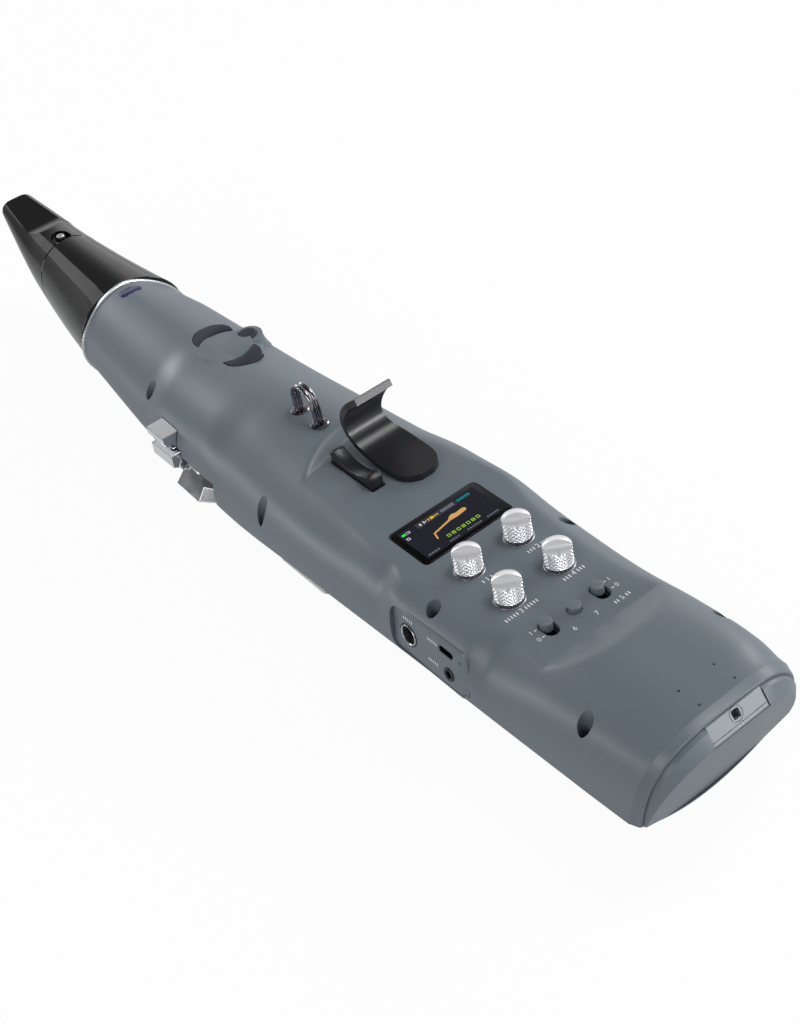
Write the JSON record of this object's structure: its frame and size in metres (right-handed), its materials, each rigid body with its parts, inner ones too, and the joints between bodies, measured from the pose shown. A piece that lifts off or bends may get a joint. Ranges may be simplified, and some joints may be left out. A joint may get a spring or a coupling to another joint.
{
  "type": "digital wind controller",
  "caption": "Electronic wind instrument with a beaked mouthpiece, a long curved body, a display with control knobs, a thumb hook, a strap ring and spring keys.",
  "frame": {"origin": "middle of the length and of the width, at the height of the lowest key touch", "axes": "+X along the body towards the tail, +Y to the player's right, +Z out of the thumb side"},
  "size_m": [0.603, 0.1056, 0.0919],
  "materials": {
    "shell": "satin slate grey",
    "mouthpiece": "polished black",
    "chrome": "polished",
    "dark_chrome": "dark polished",
    "knob": "satin",
    "key_chrome": "plated",
    "window": "clear indigo",
    "rubber": "matte indigo black",
    "black": "satin black",
    "glass": "polished",
    "board": "printed board",
    "battery": "shrink wrap",
    "pearl": "pearl",
    "light": "translucent"
  },
  "bodies": {
    "instrument_body": {"rear_shell": "shell", "front_shell": "shell", "neck_ring": "chrome", "mouthpiece_base": "mouthpiece", "mouthpiece_beak": "mouthpiece", "mouthpiece_screw": "dark_chrome", "sensor_window": "window", "thumb_board": "board", "strap_ring": "dark_chrome", "strap_washers": "dark_chrome", "thumb_hook": "black", "lever_pin": "chrome", "display_glass": "glass", "display_module": "board", "knob_washers": "knob", "encoders": "black", "switch_bodies": "black", "jack_plate": "shell", "headphone_socket": "black", "usb_socket": "dark_chrome", "audio_socket": "black", "status_light": "light", "end_cap": "shell", "latch_tongue": "shell", "case_screws": "dark_chrome", "main_board": "board", "key_boards": "board", "battery_pack": "battery", "breath_sensor": "black", "breath_tube": "black"},
    "pairing_knob_body": {"pairing_knob": "knob"},
    "volume_knob_body": {"volume_knob": "knob"},
    "transpose_knob_body": {"transpose_knob": "knob"},
    "select_knob_body": {"select_knob": "knob"},
    "power_switch_cap_body": {"power_switch_cap": "shell"},
    "bite_switch_cap_body": {"bite_switch_cap": "shell"},
    "wireless_button_body": {"wireless_button": "shell"},
    "octave_up_key_body": {"octave_up_key": "rubber"},
    "octave_down_key_body": {"octave_down_key": "rubber"},
    "octave_button_body": {"octave_button": "rubber"},
    "bend_lever_body": {"bend_lever": "black"},
    "palm_key_high_body": {"palm_key_high": "key_chrome"},
    "palm_key_middle_body": {"palm_key_middle": "key_chrome"},
    "palm_key_low_body": {"palm_key_low": "key_chrome"},
    "side_key_upper_body": {"side_key_upper": "key_chrome"},
    "side_key_lower_body": {"side_key_lower": "key_chrome"},
    "pearl_key_b_body": {"pearl_key_b": "pearl"},
    "pearl_key_a_body": {"pearl_key_a": "pearl"},
    "pearl_key_g_body": {"pearl_key_g": "pearl"},
    "pearl_key_f_body": {"pearl_key_f": "pearl"},
    "pearl_key_e_body": {"pearl_key_e": "pearl"},
    "pearl_key_d_body": {"pearl_key_d": "pearl"},
    "left_table_key_body": {"left_table_key": "pearl"},
    "right_table_key_body": {"right_table_key": "pearl"}
  },
  "joints": [
    {"name": "pairing_knob_turn", "type": "hinge", "parent": "instrument_body", "child": "pairing_knob_body", "pos_m": [0.1608, -0.0139, 0.06], "axis": [0, 0, 1], "continuous": true},
    {"name": "volume_knob_turn", "type": "hinge", "parent": "instrument_body", "child": "volume_knob_body", "pos_m": [0.1608, 0.0139, 0.06], "axis": [0, 0, 1], "continuous": true},
    {"name": "transpose_knob_turn", "type": "hinge", "parent": "instrument_body", "child": "transpose_knob_body", "pos_m": [0.1869, -0.0139, 0.06], "axis": [0, 0, 1], "continuous": true},
    {"name": "select_knob_turn", "type": "hinge", "parent": "instrument_body", "child": "select_knob_body", "pos_m": [0.1869, 0.0139, 0.06], "axis": [0, 0, 1], "continuous": true},
    {"name": "power_switch_cap_slide", "type": "slide", "parent": "instrument_body", "child": "power_switch_cap_body", "axis": [1, 0, 0], "range_m": [0, 0.0032]},
    {"name": "bite_switch_cap_slide", "type": "slide", "parent": "instrument_body", "child": "bite_switch_cap_body", "axis": [1, 0, 0], "range_m": [0, 0.0032]},
    {"name": "wireless_button_press", "type": "slide", "parent": "instrument_body", "child": "wireless_button_body", "axis": [0, 0, -1], "range_m": [0, 0.001], "stiffness_N_per_m": 400, "springref_m": -0.001},
    {"name": "octave_up_key_press", "type": "slide", "parent": "instrument_body", "child": "octave_up_key_body", "axis": [0, 0, -1], "range_m": [0, 0.0012], "stiffness_N_per_m": 300, "springref_m": -0.0015},
    {"name": "octave_down_key_press", "type": "slide", "parent": "instrument_body", "child": "octave_down_key_body", "axis": [0, 0, -1], "range_m": [0, 0.0012], "stiffness_N_per_m": 300, "springref_m": -0.0015},
    {"name": "octave_button_press", "type": "slide", "parent": "instrument_body", "child": "octave_button_body", "axis": [0, 0, -1], "range_m": [0, 0.0012], "stiffness_N_per_m": 300, "springref_m": -0.0015},
    {"name": "bend_lever_rock", "type": "hinge", "parent": "instrument_body", "child": "bend_lever_body", "pos_m": [0.07, -0.0068, 0.056], "axis": [0, 1, 0], "range_deg": [-6, 6], "stiffness_Nm_per_rad": 0.2},
    {"name": "palm_key_high_press", "type": "slide", "parent": "instrument_body", "child": "palm_key_high_body", "axis": [0, 1, 0], "range_m": [0, 0.0025], "stiffness_N_per_m": 200, "springref_m": -0.003},
    {"name": "palm_key_middle_press", "type": "slide", "parent": "instrument_body", "child": "palm_key_middle_body", "axis": [0, 1, 0], "range_m": [0, 0.0025], "stiffness_N_per_m": 200, "springref_m": -0.003},
    {"name": "palm_key_low_press", "type": "slide", "parent": "instrument_body", "child": "palm_key_low_body", "axis": [0, 1, 0], "range_m": [0, 0.0025], "stiffness_N_per_m": 200, "springref_m": -0.003},
    {"name": "side_key_upper_press", "type": "slide", "parent": "instrument_body", "child": "side_key_upper_body", "axis": [0, -1, 0], "range_m": [0, 0.0025], "stiffness_N_per_m": 200, "springref_m": -0.003},
    {"name": "side_key_lower_press", "type": "slide", "parent": "instrument_body", "child": "side_key_lower_body", "axis": [0, -1, 0], "range_m": [0, 0.0025], "stiffness_N_per_m": 200, "springref_m": -0.003},
    {"name": "pearl_key_b_press", "type": "slide", "parent": "instrument_body", "child": "pearl_key_b_body", "axis": [0, 0, 1], "range_m": [0, 0.0025], "stiffness_N_per_m": 300, "springref_m": -0.003},
    {"name": "pearl_key_a_press", "type": "slide", "parent": "instrument_body", "child": "pearl_key_a_body", "axis": [0, 0, 1], "range_m": [0, 0.0025], "stiffness_N_per_m": 300, "springref_m": -0.003},
    {"name": "pearl_key_g_press", "type": "slide", "parent": "instrument_body", "child": "pearl_key_g_body", "axis": [0, 0, 1], "range_m": [0, 0.0025], "stiffness_N_per_m": 300, "springref_m": -0.003},
    {"name": "pearl_key_f_press", "type": "slide", "parent": "instrument_body", "child": "pearl_key_f_body", "axis": [0, 0, 1], "range_m": [0, 0.0025], "stiffness_N_per_m": 300, "springref_m": -0.003},
    {"name": "pearl_key_e_press", "type": "slide", "parent": "instrument_body", "child": "pearl_key_e_body", "axis": [0, 0, 1], "range_m": [0, 0.0025], "stiffness_N_per_m": 300, "springref_m": -0.003},
    {"name": "pearl_key_d_press", "type": "slide", "parent": "instrument_body", "child": "pearl_key_d_body", "axis": [0, 0, 1], "range_m": [0, 0.0025], "stiffness_N_per_m": 300, "springref_m": -0.003},
    {"name": "left_table_key_press", "type": "slide", "parent": "instrument_body", "child": "left_table_key_body", "axis": [0, 0, 1], "range_m": [0, 0.0025], "stiffness_N_per_m": 300, "springref_m": -0.003},
    {"name": "right_table_key_press", "type": "slide", "parent": "instrument_body", "child": "right_table_key_body", "axis": [0, 0, 1], "range_m": [0, 0.0025], "stiffness_N_per_m": 300, "springref_m": -0.003}
  ]
}
